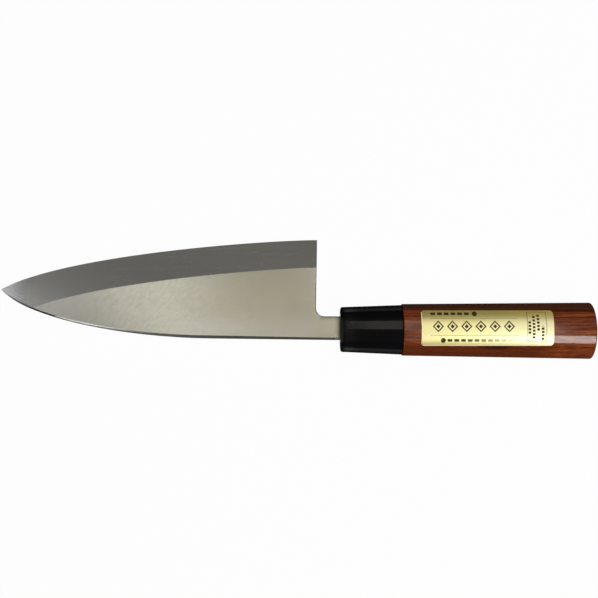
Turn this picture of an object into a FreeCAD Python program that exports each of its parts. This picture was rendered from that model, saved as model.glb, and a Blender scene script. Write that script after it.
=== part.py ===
import FreeCAD
import Part
import math
import os

# A deba: a thick, single-bevel kitchen knife with a wooden handle. All sizes are millimetres.
# The knife is drawn about the mouth of its ferrule and moved to its own frame at the end:
# X runs from the tip to the butt, +Y is the side of the cutting edge, and +Z is the bevelled face.

# Blade, seen from the bevelled face
blade_length = 150.0            # heel corner to tip
blade_height = 47.25            # spine to cutting edge at the heel
tip_height = 23.8               # tip above the spine
spine_depth = 4.95              # spine below the handle's axis
spine_straight = 51.5           # heel to where the spine starts to fall to the tip
spine_rise = 0.75               # how far the straight spine climbs on its way forward
neck_length = 10.9              # heel corner to the ferrule
neck_height = 11.15
neck_fillet_radius = 4.0
heel_lean = 0.6                 # the heel's foot stands this far ahead of its corner

# The edge and the spine are cubic curves. Each control point is a share of the way forward and
# a share of the way down (edge) or up (spine) to the tip.
edge_curve_shares = ((0.0, 0.0), (0.1663, 0.0), (0.8051, 0.2934), (1.0, 1.0))
spine_curve_shares = ((0.8441, 0.3321), (1.0, 1.0))
spine_tangent_share = 0.3418
edge_spans = 80                 # the edge is drawn in this many pieces, so that a mesh of it keeps its curve

# Blade, seen from the spine
spine_thickness = 5.0
tip_thickness = 1.5             # what the flat's taper comes down to at the tip
bevel_width_heel = 13.2
bevel_width_tip = 14.4
edge_land = 0.15                # thickness left along the cutting edge
spine_facet_width = 1.15        # facet between the spine and the flat, on the neck and at the heel
spine_facet_depth = 0.8
spine_facet_bend_share = 1.33   # its width where the spine starts to fall, as a share of that
spine_facet_tip_share = 0.53    # what is left of its width at the tip
spine_facet_low_share = 0.4     # and of its depth
back_facet = 0.4                # eased corner between spine and back
heel_ease = 0.6                 # rounding of the heel and the top of the neck

# Hollow ground into the back, so that only its rim is flat
hollow_depth = 0.35
hollow_length = 112.0
hollow_width = 29.0
hollow_ahead = 69.0             # heel corner to the hollow's middle
hollow_up = 21.5                # spine to the hollow's middle
hollow_turn_degrees = -7.0
hollow_bowl_share = 0.1         # its depth as a share of the grinding form's half height

# Hard layer that carries the edge, forged to the back of the soft cladding
layer_thickness_heel = 1.8
layer_thickness_tip = 0.65
layer_reach = 0.8               # how far it runs past the heel corner

# Tang
tang_length = 84.0
tang_shoulder = 0.8             # step from neck to tang, all round
tang_end_height = 6.0
tang_end_thickness = 2.6

# Handle
handle_length = 117.4           # ferrule and wood
handle_droop = 0.6              # the butt's centre lies this far below the mouth's
ferrule_length = 28.8
ferrule_mouth_height = 21.1
ferrule_mouth_thickness = 16.3
ferrule_rear_height = 23.35
ferrule_rear_thickness = 17.9
ferrule_front_wall = 4.0
ferrule_wall = 1.8
ferrule_mouth_round = 1.0
ferrule_rear_round = 0.35
wood_front_height = 24.3
wood_front_thickness = 18.6
butt_height = 26.5
butt_thickness = 20.3
wood_front_round = 0.4
butt_round = 0.5
tenon_clearance = 0.1

# Resin
seal_gap = 0.5                  # between the neck and the ferrule's slot
seal_bead = 0.6                 # how far the bead creeps along the neck
seal_lip = 0.5                  # how far it lies on the ferrule's face
seal_feather = 0.15             # its thickness where it ends on the neck
resin_gap = 0.6                 # between the tang and its hole
resin_end_gap = 2.0

# Label
label_height = 16.2
label_setback = 8.1             # from the front of the wood to the label
label_butt_gap = 19.9           # from the label to the butt
label_offset = 1.3              # its middle lies this far towards the edge side
label_corner = 1.4
label_thickness = 0.15
label_glue = 0.05               # film of adhesive between the foil and the wood

# Cutting tools reach past what they cut by this much, or by this share of their own slope.
overrun = 5.0
slope_overrun_share = 0.2

# Levels and places that follow from the sizes above
back = -spine_thickness / 2
front = spine_thickness / 2
spine_level = -spine_depth
neck_top = spine_level + neck_height
neck_middle = spine_level + neck_height / 2
edge_level = spine_level + blade_height
tip_level = spine_level + tip_height
heel_x = -neck_length
heel_foot_x = heel_x - heel_lean
tip_x = heel_x - blade_length
bend_x = heel_x - spine_straight
shoulder_x = ferrule_front_wall
tang_end_x = shoulder_x + tang_length


def between(start, end, share):
    return start + (end - start) * share


def flat_level(x):
    """Height of the front face at x: level on the neck, tapering from the heel to the tip."""
    return min(front, between(front, back + tip_thickness, (heel_x - x) / blade_length))


def layer_level(x):
    """Height of the joint between the hard layer and the cladding at x."""
    layer = between(layer_thickness_heel, layer_thickness_tip, (heel_x - x) / blade_length)
    return back + layer


def bezier(poles):
    curve = Part.BezierCurve()
    curve.setPoles(poles)
    return curve.toShape()


def edge_poles():
    """Control points of the cutting edge, from the heel corner to the tip."""
    return [
        FreeCAD.Vector(between(heel_x, tip_x, along), between(edge_level, tip_level, down))
        for along, down in edge_curve_shares
    ]


def edge_pieces():
    """The cutting edge in short pieces, from the heel corner to the tip."""
    curve = Part.BezierCurve()
    curve.setPoles(edge_poles())
    for i in range(edge_spans):
        piece = curve.copy()
        piece.segment(i / edge_spans, (i + 1) / edge_spans)
        yield piece.toShape()


def spine_runs():
    """Control points of the spine: along the neck, straight on to the bend, and down to the tip."""
    start = FreeCAD.Vector(shoulder_x, spine_level)
    bend = FreeCAD.Vector(bend_x, spine_level + spine_rise)
    heel = start + (bend - start) * ((shoulder_x - heel_x) / (shoulder_x - bend_x))
    forward = (bend - start).normalize()
    tangent = bend + forward * (spine_tangent_share * (bend_x - tip_x))
    rest = [
        FreeCAD.Vector(between(bend_x, tip_x, along), between(bend.y, tip_level, up))
        for along, up in spine_curve_shares
    ]
    return [start, heel], [heel, bend], [bend, tangent, *rest]


def heel_edges():
    """The top of the neck, the curve at the heel's foot and the heel, on the XY plane."""
    corner = FreeCAD.Vector(heel_x, edge_level)
    foot = FreeCAD.Vector(heel_foot_x, neck_top + neck_fillet_radius)
    landing = FreeCAD.Vector(heel_foot_x + neck_fillet_radius, neck_top)
    reach = neck_fillet_radius * (1 - math.sqrt(0.5))
    middle = FreeCAD.Vector(heel_foot_x + reach, neck_top + reach)
    neck_end = FreeCAD.Vector(shoulder_x, neck_top)
    return [
        Part.LineSegment(neck_end, landing).toShape(),
        Part.Arc(landing, middle, foot).toShape(),
        Part.LineSegment(foot, corner).toShape(),
    ]


def blade_outline():
    """The blade and its neck seen from the front, as a face on the XY plane."""
    neck, _, curve = spine_runs()
    neck_end = FreeCAD.Vector(shoulder_x, neck_top)
    edges = [
        *edge_pieces(),
        bezier(curve),
        Part.LineSegment(curve[0], neck[0]).toShape(),
        Part.LineSegment(neck[0], neck_end).toShape(),
        *heel_edges(),
    ]
    return Part.Face(Part.Wire(edges))


def side_block(points):
    """A block with the given outline seen from the spine, wide enough for the whole blade."""
    depth = blade_height + 2 * overrun
    corners = [FreeCAD.Vector(x, spine_level - overrun, z) for x, z in points]
    face = Part.Face(Part.makePolygon([*corners, corners[0]]))
    return face.extrude(FreeCAD.Vector(0, depth, 0))


def inward_steps(poles, turn):
    """For each control point, the step that moves the legs beside it sideways by one.
    turn is 1 to step to the left of the way along the points, and -1 to the right."""
    legs = [(b - a).normalize() for a, b in zip(poles, poles[1:])]
    normals = [FreeCAD.Vector(-leg.y * turn, leg.x * turn) for leg in legs]
    steps = []
    for before, after in zip([normals[0], *normals], [*normals, normals[-1]]):
        steps.append((before + after) / (1 + before.dot(after)))
    return steps


def slope_cutter(low, high, lift):
    """Everything on the lift side of the ruled surface between two curves with matching poles."""
    slopes = [(b - a) * slope_overrun_share for a, b in zip(low, high)]
    outer = bezier([a - s for a, s in zip(low, slopes)])
    inner = bezier([b + s for b, s in zip(high, slopes)])
    return Part.makeRuledSurface(outer, inner).extrude(FreeCAD.Vector(0, 0, lift))


def raised(point, z):
    return FreeCAD.Vector(point.x, point.y, z)


def bevel_cutters():
    """What is ground away above the bevel: along the edge, and a straight run past the heel."""
    poles = edge_poles()
    last = len(poles) - 1
    ridge = []
    for i, (pole, step) in enumerate(zip(poles, inward_steps(poles, 1))):
        ridge.append(pole + step * between(bevel_width_heel, bevel_width_tip, i / last))
    past_heel = (poles[0] - poles[1]).normalize() * overrun
    runs = [
        (poles, ridge),
        ([poles[0] + past_heel, poles[0]], [ridge[0] + past_heel, ridge[0]]),
    ]
    for low, high in runs:
        yield slope_cutter(
            [raised(p, back + edge_land) for p in low],
            [raised(p, flat_level(p.x)) for p in high],
            spine_thickness + overrun,
        )


def spine_cutters():
    """What is taken off the spine's corners: a facet in front and a narrow one at the back."""
    clear = spine_thickness + overrun
    stations = (
        (1, 1),
        (1, 1),
        (spine_facet_bend_share, 1),
        (spine_facet_tip_share, spine_facet_low_share),
    )
    for run, start, end in zip(spine_runs(), stations, stations[1:]):
        spans = [i / (len(run) - 1) for i in range(len(run))]
        steps = [step * between(start[0], end[0], span) for step, span in zip(inward_steps(run, -1), spans)]
        depths = [spine_facet_depth * between(start[1], end[1], span) for span in spans]
        low = [raised(p, flat_level(p.x) - depth) for p, depth in zip(run, depths)]
        inner = [p + step * spine_facet_width for p, step in zip(run, steps)]
        high = [raised(p, flat_level(p.x)) for p in inner]
        yield slope_cutter(low, high, clear)
        low = [raised(p, back + back_facet) for p in run]
        high = [raised(p + step * back_facet, back) for p, step in zip(run, steps)]
        yield slope_cutter(low, high, -clear)


def hollow_cutter():
    """The shallow bowl in the back: the top of a long ellipsoid."""
    half_height = hollow_depth / hollow_bowl_share
    rim_share = math.sqrt(1 - (1 - hollow_bowl_share) ** 2)
    form = FreeCAD.Matrix()
    form.scale(hollow_length / 2 / rim_share, hollow_width / 2 / rim_share, half_height)
    bowl = Part.makeSphere(1).transformGeometry(form)
    bowl.rotate(FreeCAD.Vector(), FreeCAD.Vector(0, 0, 1), hollow_turn_degrees)
    bowl.translate(
        FreeCAD.Vector(heel_x - hollow_ahead, spine_level + hollow_up, back - half_height + hollow_depth)
    )
    return bowl


def ground_blade():
    """Blade and neck in one piece, before the layers are told apart."""
    prism = blade_outline().extrude(FreeCAD.Vector(0, 0, spine_thickness))
    prism.translate(FreeCAD.Vector(0, 0, back))
    far = tip_x - overrun
    profile = [
        (shoulder_x, back),
        (shoulder_x, front),
        (heel_x, front),
        (far, flat_level(far)),
        (far, back),
    ]
    blade = prism.common(side_block(profile))
    blade = blade.cut([*bevel_cutters(), *spine_cutters(), hollow_cutter()])
    return eased(blade)


def eased(blade):
    """Rounds the front corners of the heel, of the curve at its foot and of the neck's top."""
    path = Part.Compound(heel_edges())
    reach = heel_ease / 2
    corners = []
    for edge in blade.Edges:
        middle = edge.valueAt(between(edge.FirstParameter, edge.LastParameter, 0.5))
        on_path = path.distToShape(Part.Vertex(raised(middle, 0)))[0] < reach
        on_front = middle.z > flat_level(middle.x) - reach
        if on_path and on_front:
            corners.append(edge)
    return blade.makeFillet(heel_ease, corners)


def layer_block():
    """The space of the hard layer: below the joint, from the tip to just past the heel."""
    near = heel_x + layer_reach
    far = tip_x - overrun
    below = back - overrun
    points = [
        (near, below),
        (near, layer_level(near)),
        (far, layer_level(far)),
        (far, below),
    ]
    return side_block(points)


def tang_block(end_x, grow):
    """The tang from its shoulder to end_x, grown all round."""
    wires = []
    for x in (shoulder_x, end_x):
        share = (x - shoulder_x) / tang_length
        height = between(neck_height - 2 * tang_shoulder, tang_end_height, share)
        thickness = between(spine_thickness - 2 * tang_shoulder, tang_end_thickness, share)
        middle = between(neck_middle, axis_level(tang_end_x), share)
        wires.append(oblong(x, middle, height / 2 + grow, thickness / 2 + grow))
    return Part.makeLoft(wires, True, True)


def oblong(x, middle, half_height, half_thickness):
    """A rectangle across the knife at x, as a wire."""
    corners = [
        FreeCAD.Vector(x, middle + half_height * side, half_thickness * face)
        for side, face in ((-1, -1), (1, -1), (1, 1), (-1, 1))
    ]
    return Part.makePolygon([*corners, corners[0]])


def axis_level(x):
    """Height of the handle's axis at x, seen from the front."""
    return -handle_droop * x / handle_length


def oval(x, height, thickness):
    """An oval across the handle at x, as a wire."""
    middle = FreeCAD.Vector(x, axis_level(x), 0)
    top = middle + FreeCAD.Vector(0, height / 2, 0)
    side = middle + FreeCAD.Vector(0, 0, thickness / 2)
    return Part.Wire(Part.Ellipse(top, side, middle).toShape())


def oval_loft(start, end, size_at, grow):
    """A straight-sided oval body from start to end, grown all round."""
    wires = []
    for x in (start, end):
        height, thickness = size_at(x)
        wires.append(oval(x, height + 2 * grow, thickness + 2 * grow))
    return Part.makeLoft(wires, True, True)


def ferrule_size(x):
    share = x / ferrule_length
    height = between(ferrule_mouth_height, ferrule_rear_height, share)
    return height, between(ferrule_mouth_thickness, ferrule_rear_thickness, share)


def wood_size(x):
    share = (x - ferrule_length) / (handle_length - ferrule_length)
    height = between(wood_front_height, butt_height, share)
    return height, between(wood_front_thickness, butt_thickness, share)


def rounded_rim(body, x, radius):
    """Rounds the rim of a body's end face at x."""
    for face in body.Faces:
        box = face.BoundBox
        if max(abs(box.XMin - x), abs(box.XMax - x)) < radius / 2:
            return body.makeFillet(radius, face.Edges)


def neck_block(start, end, grow):
    """The space of the neck from start to end, grown all round."""
    wires = [
        oblong(x, neck_middle, neck_height / 2 + grow, spine_thickness / 2 + grow)
        for x in (start, end)
    ]
    return Part.makeLoft(wires, True, True)


def make_blade():
    """The hard layer, and the cladding with its neck and tang."""
    blade = ground_blade()
    block = layer_block()
    tang = tang_block(tang_end_x, 0)
    return blade.common(block), blade.cut(block).fuse(tang)


def make_ferrule():
    body = oval_loft(0, ferrule_length, ferrule_size, 0)
    body = rounded_rim(body, 0, ferrule_mouth_round)
    body = rounded_rim(body, ferrule_length, ferrule_rear_round)
    socket = oval_loft(shoulder_x, ferrule_length + overrun, ferrule_size, -ferrule_wall)
    slot = neck_block(-overrun, shoulder_x + overrun, seal_gap)
    return body.cut([socket, slot])


def make_handle():
    body = oval_loft(ferrule_length, handle_length, wood_size, 0)
    body = rounded_rim(body, ferrule_length, wood_front_round)
    body = rounded_rim(body, handle_length, butt_round)
    tenon_inset = ferrule_wall + tenon_clearance
    tenon = oval_loft(shoulder_x, ferrule_length, ferrule_size, -tenon_inset)
    return body.fuse(tenon).cut(tang_block(tang_end_x + resin_end_gap, resin_gap))


def make_tang_resin():
    hole = tang_block(tang_end_x + resin_end_gap, resin_gap)
    return hole.cut(tang_block(tang_end_x, 0))


def make_mouth_seal(cladding):
    plug = neck_block(0, shoulder_x, seal_gap)
    lip = seal_gap + seal_lip
    wires = [
        oblong(-seal_bead, neck_middle, neck_height / 2 + seal_feather, spine_thickness / 2 + seal_feather),
        oblong(0, neck_middle, neck_height / 2 + lip, spine_thickness / 2 + lip),
    ]
    bead = Part.makeLoft(wires, True, True)
    return plug.fuse(bead).cut(cladding)


def make_label():
    """A foil on the front of the handle, following its surface."""
    start = ferrule_length + label_setback
    end = handle_length - label_butt_gap
    middle = axis_level(between(start, end, 0.5)) + label_offset
    corner = FreeCAD.Vector(start, middle - label_height / 2, 0)
    plate = Part.makeBox(end - start, label_height, butt_thickness, corner)
    upright = [e for e in plate.Edges if e.Vertexes[0].Z != e.Vertexes[1].Z]
    plate = plate.makeFillet(label_corner, upright)
    glued = oval_loft(ferrule_length, handle_length, wood_size, label_glue)
    skin = oval_loft(ferrule_length, handle_length, wood_size, label_glue + label_thickness)
    return skin.common(plate).cut(glued)


def make_knife():
    """Every piece, by name, in the drawing's frame."""
    edge_steel, cladding = make_blade()
    return {
        "edge_steel": edge_steel,
        "blade_cladding": cladding,
        "ferrule": make_ferrule(),
        "handle_body": make_handle(),
        "tang_resin": make_tang_resin(),
        "mouth_seal": make_mouth_seal(cladding),
        "label": make_label(),
    }


def to_own_frame():
    """The move that puts the origin under the middle of the knife, at its lowest level."""
    low_side = axis_level(handle_length) - butt_height / 2
    return FreeCAD.Vector(
        -between(tip_x, handle_length, 0.5),
        -between(low_side, edge_level, 0.5),
        butt_thickness / 2,
    )


os.makedirs("parts", exist_ok=True)
for name, shape in make_knife().items():
    solid = shape.removeSplitter().Solids[0]
    solid.translate(to_own_frame())
    solid.exportStep(f"parts/{name}.step")
    print(name, "volume", round(solid.Volume, 1), "valid", solid.isValid(), "solids", len(shape.Solids))
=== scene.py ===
# %% [markdown]
# # A deba knife, seen from above on a white table
#
# A deba is a thick kitchen knife for fish. Its blade is ground on one side only, so the side that we look
# at has two faces: a broad flat by the spine and a bevel that runs down to the cutting edge. A black
# ferrule joins the blade to an oval wooden handle, and a pale gold label is stuck on the handle.
#
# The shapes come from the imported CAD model, which is loaded as a fixed frame in metres. This script adds
# what the solids do not have: the finishes, the bead of resin at the ferrule's mouth, the light and the
# camera.

# %% Load the frame
import math

import bmesh
import bpy
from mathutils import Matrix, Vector


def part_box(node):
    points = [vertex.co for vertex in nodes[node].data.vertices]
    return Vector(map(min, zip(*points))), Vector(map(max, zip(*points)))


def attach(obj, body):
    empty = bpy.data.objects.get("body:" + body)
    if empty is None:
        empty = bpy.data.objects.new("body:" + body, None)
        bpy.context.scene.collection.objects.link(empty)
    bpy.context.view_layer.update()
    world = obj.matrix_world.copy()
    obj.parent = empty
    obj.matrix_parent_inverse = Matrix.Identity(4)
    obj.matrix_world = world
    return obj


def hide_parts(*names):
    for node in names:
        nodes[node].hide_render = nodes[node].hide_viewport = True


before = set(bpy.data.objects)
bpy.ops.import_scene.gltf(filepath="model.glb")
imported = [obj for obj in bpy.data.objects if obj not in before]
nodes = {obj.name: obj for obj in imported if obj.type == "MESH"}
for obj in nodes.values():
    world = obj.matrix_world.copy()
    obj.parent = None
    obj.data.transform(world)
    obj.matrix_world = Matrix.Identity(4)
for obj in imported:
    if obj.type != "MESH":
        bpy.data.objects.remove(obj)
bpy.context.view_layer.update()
print("nodes:", ", ".join(sorted(nodes)))

# %% [markdown]
# ## Landmarks
#
# Everything below is placed from a few landmarks of the knife, so that nothing slips when the CAD model
# changes. Finishes are easier to think about in millimetres, so the landmarks are kept in millimetres too.

# %% Landmarks
MM = 0.001


def corners(node):
    """Lowest and highest corner of a node in millimetres."""
    low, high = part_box(node)
    return low / MM, high / MM


def points(node):
    """Every point of a node's mesh in millimetres."""
    shape = nodes[node]
    return [shape.matrix_world @ vertex.co / MM for vertex in shape.data.vertices]


ferrule_low, ferrule_high = corners("ferrule")
wood_low, wood_high = corners("handle_body")
label_low, label_high = corners("label")
seal_low, seal_high = corners("mouth_seal")
edge_low, edge_high = corners("edge_steel")
tip_point = min(points("edge_steel"), key=lambda point: point.x)
back_level = edge_low.z
mouth_x = ferrule_low.x
mid_level = (wood_low.z + wood_high.z) / 2
axis_y = (ferrule_low.y + ferrule_high.y) / 2
print(f"mouth at x {mouth_x:.2f}, handle axis at y {axis_y:.2f}, mid-plane at z {mid_level:.2f} mm")
print(f"tip at x {tip_point.x:.2f}, y {tip_point.y:.2f} mm")

# %% [markdown]
# ## Camera
#
# The photograph looks straight down at the knife. The butt shows a sliver of its rim, which gives the
# distance: about 360 mm. One pixel then covers a known length at the knife's mid-plane, and two known
# points of the picture, the ferrule's mouth and the handle's axis, fix where the middle of the picture
# lies on the knife. A camera could be nudged by eye until the picture fits, but one that is worked out
# stays right when the model changes.

# %% Camera
PICTURE = 598            # pixels along each side
PIXEL = 0.4713           # mm that one pixel covers at the mid-plane
MOUTH_COLUMN = 340.3     # where the ferrule's mouth stands in the picture
AXIS_ROW = 329.8         # where the handle's axis crosses the ferrule
EYE_HEIGHT = 360.0       # mm from the mid-plane to the lens
SENSOR = 36.0            # mm

middle = Vector((
    mouth_x + (PICTURE / 2 - MOUTH_COLUMN) * PIXEL,
    axis_y - (PICTURE / 2 - AXIS_ROW) * PIXEL,
    mid_level,
))
eye = bpy.data.cameras.new("eye")
eye.sensor_width = SENSOR
eye.lens = SENSOR * EYE_HEIGHT / (PICTURE * PIXEL)
eye_holder = bpy.data.objects.new("eye", eye)
eye_holder.location = (middle + Vector((0, 0, EYE_HEIGHT))) * MM
bpy.context.scene.collection.objects.link(eye_holder)
bpy.context.scene.camera = eye_holder
bpy.context.scene.view_settings.view_transform = "Standard"
print(f"lens {eye.lens:.1f} mm, above {middle.x:.2f}, {middle.y:.2f} mm")

# %% [markdown]
# ## Wires for shader maths
#
# A finish is a small calculation: masks are added, multiplied and compared. Placing each Math node by hand
# hides the calculation, so one class wraps an output socket and lets Python's own operators add the nodes.
# Any other kind of node comes from its `add` method: first the node's settings, then what goes into its
# sockets.

# %% Wires
class Wire:
    """One output of a shader node. Arithmetic on wires adds Math nodes to the same tree."""

    def __init__(self, socket):
        self.socket = socket
        self.tree = socket.id_data

    @staticmethod
    def plug(socket, value):
        if isinstance(value, Wire):
            value.tree.links.new(value.socket, socket)
        else:
            socket.default_value = value

    @staticmethod
    def add(tree, kind, settings=None, values=None, output=0):
        """Adds a node with its settings and the values or wires of its sockets; gives back one output."""
        node = tree.nodes.new(kind)
        for name, value in (settings or {}).items():
            if name == "stops":
                while len(node.color_ramp.elements) < len(value):
                    node.color_ramp.elements.new(1.0)
                for stop, (place, paint) in zip(node.color_ramp.elements, value):
                    stop.position = place
                    stop.color = paint
            else:
                setattr(node, name, value)
        for name, value in (values or {}).items():
            Wire.plug(node.inputs[name], value)
        return Wire(node.outputs[output])

    def other(self, output):
        """Another output of the same node."""
        return Wire(self.socket.node.outputs[output])

    def sum(self, operation, *terms):
        return Wire.add(self.tree, "ShaderNodeMath", {"operation": operation}, dict(enumerate(terms)))

    def __add__(self, other):
        return self.sum("ADD", self, other)

    def __radd__(self, other):
        return self.sum("ADD", other, self)

    def __sub__(self, other):
        return self.sum("SUBTRACT", self, other)

    def __rsub__(self, other):
        return self.sum("SUBTRACT", other, self)

    def __mul__(self, other):
        return self.sum("MULTIPLY", self, other)

    def __rmul__(self, other):
        return self.sum("MULTIPLY", other, self)

    def __truediv__(self, other):
        return self.sum("DIVIDE", self, other)

    def __abs__(self):
        return self.sum("ABSOLUTE", self)


print("wires are ready")

# %% [markdown]
# ## A few words for finishes
#
# Most masks are a soft step or a soft band, and most texture is noise that is stretched along one
# direction. Each could be built where it is needed, but a short word for it keeps the finishes readable. The
# sizes of the patches are given in millimetres, so a pore of 0.2 mm is written as 0.2.

# %% Where a point lies and which way it faces
def place_of(tree):
    """Where a point of the surface lies, in millimetres, with its x, y and z."""
    metres = Wire.add(tree, "ShaderNodeTexCoord", output="Object")
    place = Wire.add(tree, "ShaderNodeVectorMath", {"operation": "SCALE"}, {0: metres, "Scale": 1 / MM})
    x = Wire.add(tree, "ShaderNodeSeparateXYZ", values={0: place})
    return place, x, x.other("Y"), x.other("Z")


def facing(tree, axis="Z"):
    """How far the surface faces along an axis. For Z, 1 is level, 0 upright and -1 upside down."""
    normal = Wire.add(tree, "ShaderNodeNewGeometry", output="True Normal")
    return Wire.add(tree, "ShaderNodeSeparateXYZ", values={0: normal}, output=axis)


print("places are counted in steps of", MM, "m")

# %% Steps and bands
def step(wire, start, end):
    """0 up to start and 1 from end on, with a soft step between. Start may be the larger one."""
    return Wire.add(wire.tree, "ShaderNodeMapRange", {"interpolation_type": "SMOOTHSTEP"},
                    {"Value": wire, "From Min": start, "From Max": end})


def band(wire, middle_at, width, blur):
    """1 inside a band round a value, 0 outside it."""
    return step(abs(wire - middle_at), (width + blur) / 2, (width - blur) / 2)


def either(*masks):
    """The largest of some masks."""
    most = masks[0]
    for mask in masks[1:]:
        most = most.sum("MAXIMUM", most, mask)
    return most


def at_least(wire, floor):
    """The value, but never below a floor."""
    return wire.sum("MAXIMUM", wire, floor)


print("masks run from 0 to 1")

# %% Clouds, tints and relief
CLOUD_MIDDLE = 0.5
PLAIN_DETAIL = 2.0


def clouds(place, patch, detail=PLAIN_DETAIL, twist=0.0):
    """Noise from 0 to 1 with patches of these millimetres along x, y and z."""
    scaled = Wire.add(place.tree, "ShaderNodeVectorMath", {"operation": "DIVIDE"}, {0: place, 1: patch})
    return Wire.add(place.tree, "ShaderNodeTexNoise", {},
                    {"Vector": scaled, "Scale": 1.0, "Detail": detail, "Distortion": twist})


def swing(cloud):
    """How far a cloud is above or below its middle."""
    return cloud - CLOUD_MIDDLE


def tint(share, first, second):
    """A colour between two: a share of 0 is the first one."""
    return Wire.add(share.tree, "ShaderNodeMix", {"data_type": "RGBA"}, {0: share, 6: first, 7: second}, 2)


def relief(height, depth):
    """The normal of a surface whose heights of 0 to 1 stand for this depth in millimetres."""
    return Wire.add(height.tree, "ShaderNodeBump", {}, {"Height": height, "Distance": depth * MM}, "Normal")


print("clouds swing about", CLOUD_MIDDLE)

# %% Finishes and who wears them
def shade(red, green, blue):
    return (red, green, blue, 1.0)


def new_finish(name):
    finish = bpy.data.materials.new(name)
    finish.use_nodes = True
    return finish, finish.node_tree


def coat(finish, values):
    """Sets the shader's sockets to plain values or wires."""
    shader = finish.node_tree.nodes["Principled BSDF"]
    for name, value in values.items():
        Wire.plug(shader.inputs[name], value)
    print(f"{finish.name}: {len(finish.node_tree.nodes)} nodes")


def dress(node, finish):
    for slot in nodes[node].material_slots:
        slot.material = finish


print("pieces to dress:", len(nodes))

# %% [markdown]
# ## Table
#
# The knife lies on a plain white table. A matt white disc lit by the lamps would do, but it comes out grey
# where the light falls off. So the camera, and mirrors, see a white that is mostly even, mixed with a
# little of the lit disc, which keeps the knife's shadow.

# %% Table
TABLE_RADIUS = 4.0       # metres
TABLE_SIDES = 96
TABLE_PAINT = shade(0.6, 0.6, 0.6)
EVEN_STRENGTH = 1.0      # a glow of this strength is white
EVEN_SHARE = 0.965       # how much of the even white is seen


def round_table():
    mesh = bpy.data.meshes.new("table")
    disc = bmesh.new()
    bmesh.ops.create_circle(disc, cap_ends=True, segments=TABLE_SIDES, radius=TABLE_RADIUS)
    disc.to_mesh(mesh)
    disc.free()
    table = bpy.data.objects.new("table", mesh)
    bpy.context.scene.collection.objects.link(table)
    return table


def table_white():
    finish, tree = new_finish("table white")
    ray = Wire.add(tree, "ShaderNodeLightPath", output="Is Camera Ray")
    seen = ray + ray.other("Is Glossy Ray") + ray.other("Is Transmission Ray")
    lit = Wire.add(tree, "ShaderNodeBsdfDiffuse", values={"Color": TABLE_PAINT})
    even = Wire.add(tree, "ShaderNodeEmission", values={"Strength": EVEN_STRENGTH})
    share = seen.sum("MINIMUM", seen, 1.0) * EVEN_SHARE
    mixed = Wire.add(tree, "ShaderNodeMixShader", values={0: share, 1: lit, 2: even})
    Wire.plug(tree.nodes["Material Output"].inputs["Surface"], mixed)
    return finish


table = round_table()
table.data.materials.append(table_white())
print("table", 2 * TABLE_RADIUS, "m across")

# %% [markdown]
# ## Room
#
# Steel has no colour of its own to speak of: it shows the room. The bevel leans away from us and mirrors
# the room behind the cutting edge, which is dim, so the bevel is dark beside the flat. A picture of a real
# room would do this too. A world with a few greys by height is enough, and each grey can be set for the face
# that mirrors it: dim where it meets the table, darker above that, and lighter overhead.

# %% Room
# How far up a direction points, and the grey that is seen there.
ROOM_GREYS = ((0.0, 0.11), (0.12, 0.06), (0.35, 0.05), (0.6, 0.075), (0.75, 0.172), (1.0, 0.162))

room = bpy.data.worlds.new("room")
room.use_nodes = True
bpy.context.scene.world = room
direction = Wire.add(room.node_tree, "ShaderNodeTexCoord", output="Generated")
height = Wire.add(room.node_tree, "ShaderNodeSeparateXYZ", values={0: direction}, output="Z")
greys = Wire.add(room.node_tree, "ShaderNodeValToRGB",
                 {"stops": [(at, shade(grey, grey, grey)) for at, grey in ROOM_GREYS]}, {0: height})
Wire.plug(room.node_tree.nodes["Background"].inputs["Color"], greys)
print("room with", len(ROOM_GREYS), "greys")

# %% [markdown]
# ## Lamps
#
# What shows on steel, gloss and foil is the picture of a lamp, so shiny things are lit with soft panels.
# Level ones hang above the knife, and each is named for what it does on the object. The flat mirrors a row
# of them, brightest over the front of the belly. Others are there for the bevel, the stripe on the black
# ferrule, the lacquer, the foil and the facet of the spine near the tip.
#
# The key gives most of the light, and the bright stripe on the wood by the butt. It is in three parts. Seen
# from behind, the bevel mirrors it, and all of it at full strength would lose the bevel against the white
# table. So the far part is dim, and a fill that no mirror shows makes up the light. A second fill of that
# kind hangs overhead. A lamp's power is its brightness times its area times pi, so a panel is written by
# its brightness, where 1 is white.

# %% Lamps
PANEL_HEIGHT = 0.9       # metres above the mid-plane
WHITE = (1.0, 1.0, 1.0)

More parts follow.
